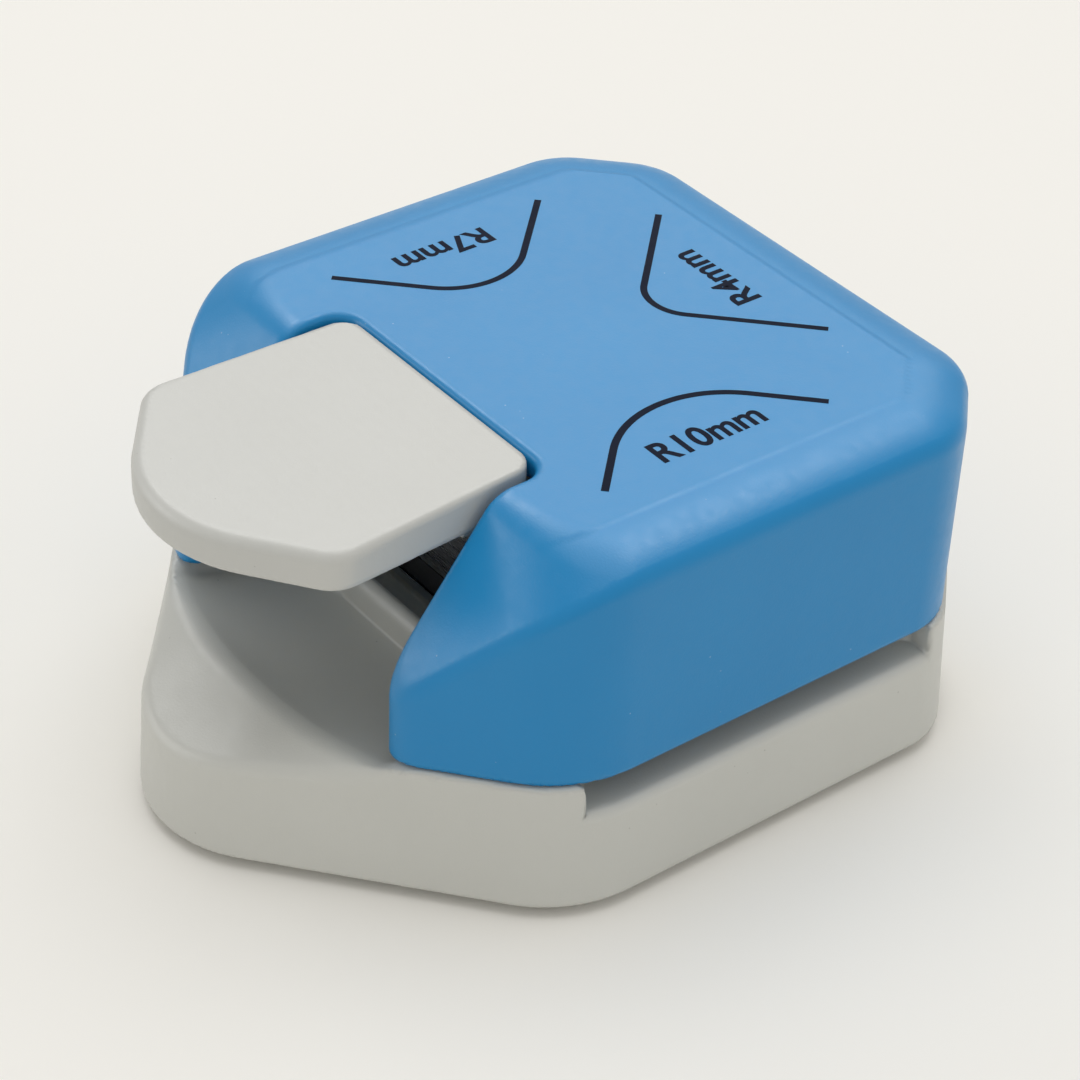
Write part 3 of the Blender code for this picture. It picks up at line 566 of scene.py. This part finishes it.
# ---------------------------------------------------------------- materials

class Graph:
    """A material's node tree, with short ways to add nodes."""

    def __init__(self, name):
        self.material = bpy.data.materials.new(name)
        self.material.use_nodes = True
        self.nodes = self.material.node_tree.nodes
        self.links = self.material.node_tree.links
        self.shader = self.nodes["Principled BSDF"]
        place = self.nodes.new("ShaderNodeTexCoord")
        self.place = place.outputs["Object"]

    def noise(self, scale, detail=3.0, rough=0.5):
        node = self.nodes.new("ShaderNodeTexNoise")
        node.inputs["Scale"].default_value = scale
        node.inputs["Detail"].default_value = detail
        node.inputs["Roughness"].default_value = rough
        self.links.new(self.place, node.inputs["Vector"])
        return node.outputs["Fac"]

    def ramp(self, value, low, high, from_low=0.3, from_high=0.7):
        node = self.nodes.new("ShaderNodeMapRange")
        node.inputs["From Min"].default_value = from_low
        node.inputs["From Max"].default_value = from_high
        node.inputs["To Min"].default_value = low
        node.inputs["To Max"].default_value = high
        self.links.new(value, node.inputs["Value"])
        return node.outputs["Result"]

    def mix(self, share, a, b):
        node = self.nodes.new("ShaderNodeMix")
        node.data_type = "RGBA"
        self.put(share, node.inputs["Factor"])
        self.put(a, node.inputs["A"])
        self.put(b, node.inputs["B"])
        return node.outputs["Result"]

    def math(self, operation, a, b=0.0):
        node = self.nodes.new("ShaderNodeMath")
        node.operation = operation
        self.put(a, node.inputs[0])
        self.put(b, node.inputs[1])
        return node.outputs[0]

    def put(self, value, socket):
        if isinstance(value, bpy.types.NodeSocket):
            self.links.new(value, socket)
        elif isinstance(value, tuple):
            socket.default_value = (*value, 1.0)
        else:
            socket.default_value = value

    def bump(self, height, distance, after=None):
        node = self.nodes.new("ShaderNodeBump")
        node.inputs["Distance"].default_value = distance
        node.inputs["Strength"].default_value = 1.0
        self.links.new(height, node.inputs["Height"])
        if after is not None:
            self.links.new(after, node.inputs["Normal"])
        return node.outputs["Normal"]

    def set(self, name, value):
        self.put(value, self.shader.inputs[name])

    def ribs(self, direction, period, depth):
        """Faint even ribs over the grain."""
        node = self.nodes.new("ShaderNodeTexWave")
        node.bands_direction = direction
        node.inputs["Scale"].default_value = math.pi / (10.0 * period)
        self.links.new(self.place, node.inputs["Vector"])
        grain = self.shader.inputs["Normal"].links[0].from_socket
        self.set("Normal", self.bump(node.outputs["Fac"], depth, after=grain))

    def specks(self, scale, size):
        """Small separate dots: 1 on a dot."""
        node = self.nodes.new("ShaderNodeTexVoronoi")
        node.inputs["Scale"].default_value = scale
        self.links.new(self.place, node.inputs["Vector"])
        pick = self.ramp(self.noise(scale * 0.21, 1.0), 0.0, 1.0, 0.62, 0.65)
        dot = self.ramp(node.outputs["Distance"], 1.0, 0.0, size * 0.6, size)
        return self.math("MULTIPLY", dot, pick)


def plastic(name, colour, shade, roughness, grain, dust):
    """Moulded plastic: slow cloudiness, fine grain, a few specks of dust."""
    g = Graph(name)
    cloud = g.noise(60.0, 4.0)
    tint = g.mix(g.ramp(cloud, 0.0, 1.0), colour, shade)
    tint = g.mix(g.math("MULTIPLY", g.specks(800.0, 0.07), 0.5), tint, dust)
    g.set("Base Color", tint)
    g.set("Roughness", g.ramp(g.noise(900.0, 3.0), roughness - 0.04, roughness + 0.05))
    fine = g.noise(5200.0, 2.0)
    g.set("Normal", g.bump(fine, grain))
    return g


def brushed(name, colour, roughness):
    """Ground steel with fine lines across it."""
    g = Graph(name)
    stretch = g.nodes.new("ShaderNodeMapping")
    stretch.inputs["Scale"].default_value = (60.0, 4000.0, 900.0)
    g.links.new(g.place, stretch.inputs["Vector"])
    lines = g.nodes.new("ShaderNodeTexNoise")
    lines.inputs["Scale"].default_value = 1.0
    lines.inputs["Detail"].default_value = 3.0
    g.links.new(stretch.outputs["Vector"], lines.inputs["Vector"])
    g.set("Metallic", 1.0)
    g.set("Base Color", g.mix(g.ramp(lines.outputs["Fac"], 0.0, 1.0), colour, tuple(0.8 * c for c in colour)))
    g.set("Roughness", g.ramp(lines.outputs["Fac"], roughness - 0.06, roughness + 0.08))
    g.set("Normal", g.bump(lines.outputs["Fac"], 0.000004))
    return g


def make_materials():
    blue = plastic("blue_satin", (0.003, 0.236, 0.540), (0.002, 0.224, 0.520), 0.34, 0.000010,
                   (0.35, 0.5, 0.65))
    blue.set("Specular IOR Level", 0.45)
    grey = plastic("grey_satin", (0.598, 0.600, 0.560), (0.578, 0.580, 0.540), 0.42, 0.000012,
                   (0.2, 0.2, 0.18))
    light = plastic("light_grey_satin", (0.560, 0.562, 0.532), (0.546, 0.548, 0.518), 0.40, 0.000010,
                    (0.30, 0.29, 0.26))
    light.ribs("Y", 0.0011, 0.000004)
    # black moulding; on the punch carrier and guide block it is partly painted shade that keeps the gap under
    # the lever dark
    black = plastic("black_moulded_and_painted_shade", (0.020, 0.020, 0.022), (0.030, 0.030, 0.032), 0.5, 0.00002,
                    (0.1, 0.1, 0.1))
    rubber = plastic("rubber", (0.018, 0.018, 0.018), (0.03, 0.03, 0.03), 0.75, 0.00003, (0.12, 0.12, 0.11))
    steel = brushed("ground_steel", (0.62, 0.63, 0.65), 0.28)
    ink = plastic("ink", (0.002, 0.005, 0.016), (0.003, 0.007, 0.022), 0.38, 0.000006, (0.02, 0.03, 0.05))
    ink.set("Specular IOR Level", 0.03)
    return {"blue": blue, "grey": grey, "light": light, "black": black, "rubber": rubber, "steel": steel,
            "ink": ink}


def dress(piece, graph):
    piece.data.materials.clear()
    piece.data.materials.append(graph.material)


# ---------------------------------------------------------------- printed marks

def ribbon(name, line, width, height):
    """A printed stroke that follows a line of points, with square ends."""
    half = width / 2
    left, right = [], []
    for i, point in enumerate(line):
        ahead = line[min(i + 1, len(line) - 1)] - line[max(i - 1, 0)]
        across = Vector((-ahead.y, ahead.x)).normalized() * half
        left.append(point + across)
        right.append(point - across)
    verts = [(p.x, p.y, z) for z in (height - 0.01, height) for p in left + right]
    count = len(line)
    faces = []
    for i in range(count - 1):
        a, b, c, d = i, i + 1, count + i + 1, count + i
        faces.append((a + 2 * count, d + 2 * count, c + 2 * count, b + 2 * count))
        faces.append((a, b, c, d))
        faces.append((a, a + 2 * count, b + 2 * count, b))
        faces.append((d, c, c + 2 * count, d + 2 * count))
    faces.append((0, count, 3 * count, 2 * count))
    faces.append((count - 1, 3 * count - 1, 4 * count - 1, 2 * count - 1))
    mesh = bpy.data.meshes.new(name)
    mesh.from_pydata([(x * MM, (y + CENTRE_Y) * MM, (z + CENTRE_Z) * MM) for x, y, z in verts], [], faces)
    turn_outward(mesh)
    return linked(name, mesh)


def corner_line(vertex, direction, radius, legs):
    """A right-angled corner that opens away from the centre, rounded at its own radius."""
    out = Vector(direction)
    side = Vector((-out.y, out.x))
    apex = out * vertex
    leg_a, leg_b = (out - side).normalized(), (out + side).normalized()
    centre = apex + out * radius * math.sqrt(2)
    line = [apex + leg_a * legs[0]]
    steps = 40
    for i in range(steps + 1):
        angle = math.radians(-45.0 + 90.0 * i / steps)
        line.append(centre - out * radius * math.cos(angle) + side * radius * math.sin(angle))
    line.append(apex + leg_b * legs[1])
    return line


def label(name, text, start, turn, length, height):
    """Printed letters that fill a box: start is the foot of the first letter, turn the reading direction."""
    curve = bpy.data.curves.new(name, "FONT")
    curve.body = text
    curve.extrude = 0.005
    curve.offset = 0.025
    letters = bpy.data.objects.new(name + "_letters", curve)
    bpy.context.scene.collection.objects.link(letters)
    bpy.context.view_layer.update()
    mesh = bpy.data.meshes.new_from_object(letters.evaluated_get(bpy.context.evaluated_depsgraph_get()))
    bpy.data.objects.remove(letters)
    low = Vector([min(v.co[k] for v in mesh.vertices) for k in range(3)])
    high = Vector([max(v.co[k] for v in mesh.vertices) for k in range(3)])
    ahead = Vector((math.cos(math.radians(turn)), math.sin(math.radians(turn))))
    for vertex in mesh.vertices:
        share = [(vertex.co[k] - low[k]) / (high[k] - low[k]) for k in range(3)]
        spot = Vector(start) + ahead * length * share[0] + Vector((-ahead.y, ahead.x)) * height * share[1]
        vertex.co = Vector((spot.x, spot.y + CENTRE_Y, TOP + CENTRE_Z + INK_HEIGHT * share[2])) * MM
    return linked(name, mesh)


def print_marks(ink):
    height = TOP + INK_HEIGHT
    marks = [
        ribbon("mark_r10", corner_line(7.99, (1.0, 0.0), 10.0, (15.8, 16.5)), 0.65, height),
        ribbon("mark_r7", corner_line(7.86, (-1.0, 0.0), 7.0, (16.5, 15.6)), 0.62, height),
        ribbon("mark_r4", corner_line(7.60, (0.0, 1.0), 4.0, (16.1, 16.2)), 0.62, height),
        label("label_r10", "R10mm", (18.93, -4.9), 90.0, 10.85, 2.8),
        label("label_r7", "R7mm", (-18.65, 4.5), -90.0, 9.6, 2.6),
        label("label_r4", "R4mm", (4.3, 17.72), 180.0, 9.5, 2.75),
    ]
    for mark in marks:
        mark.data.materials.append(ink.material)
        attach(mark, "base")


# ---------------------------------------------------------------- assembly

def build():
    make_camera()
    make_studio()
    looks = make_materials()
    housing = moulded("housing_skin", housing_field, (-28.9, -34.0, 12.0), (28.9, 28.0, 34.4), "base",
                      "top_housing")
    dress(housing, looks["blue"])
    base = moulded("base_skin", base_field, (-29.8, -42.0, -0.6), (29.8, 28.8, 13.4), "base", "base_shell")
    dress(base, looks["grey"])
    lever = moulded("lever_skin", lever_field, (-15.0, -42.0, 23.6), (15.0, 23.0, 34.4), "lever", "lever")
    dress(lever, looks["light"])
    cover = moulded("cover_skin", cover_field, (-17.2, -14.2, 0.0), (17.2, 18.2, 3.2), "cover", "chip_cover",
                    step=0.7 * STEP)
    dress(cover, looks["grey"])
    wire = spring()
    dress(wire, looks["steel"])
    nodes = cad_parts
    for name in nodes:
        if name in ("top_housing", "base_shell", "lever", "chip_cover", "return_spring"):
            continue
        if name.startswith("foot_"):
            graph = looks["rubber"]
        # the punch carrier and guide block show only through the gap under the lever: their black is partly
        # painted shade that keeps the gap dark
        elif name in ("punch_carrier", "guide_block"):
            graph = looks["black"]
        else:
            graph = looks["steel"]
        for slot in nodes[name].material_slots:
            slot.material = graph.material
    print_marks(looks["ink"])


build()
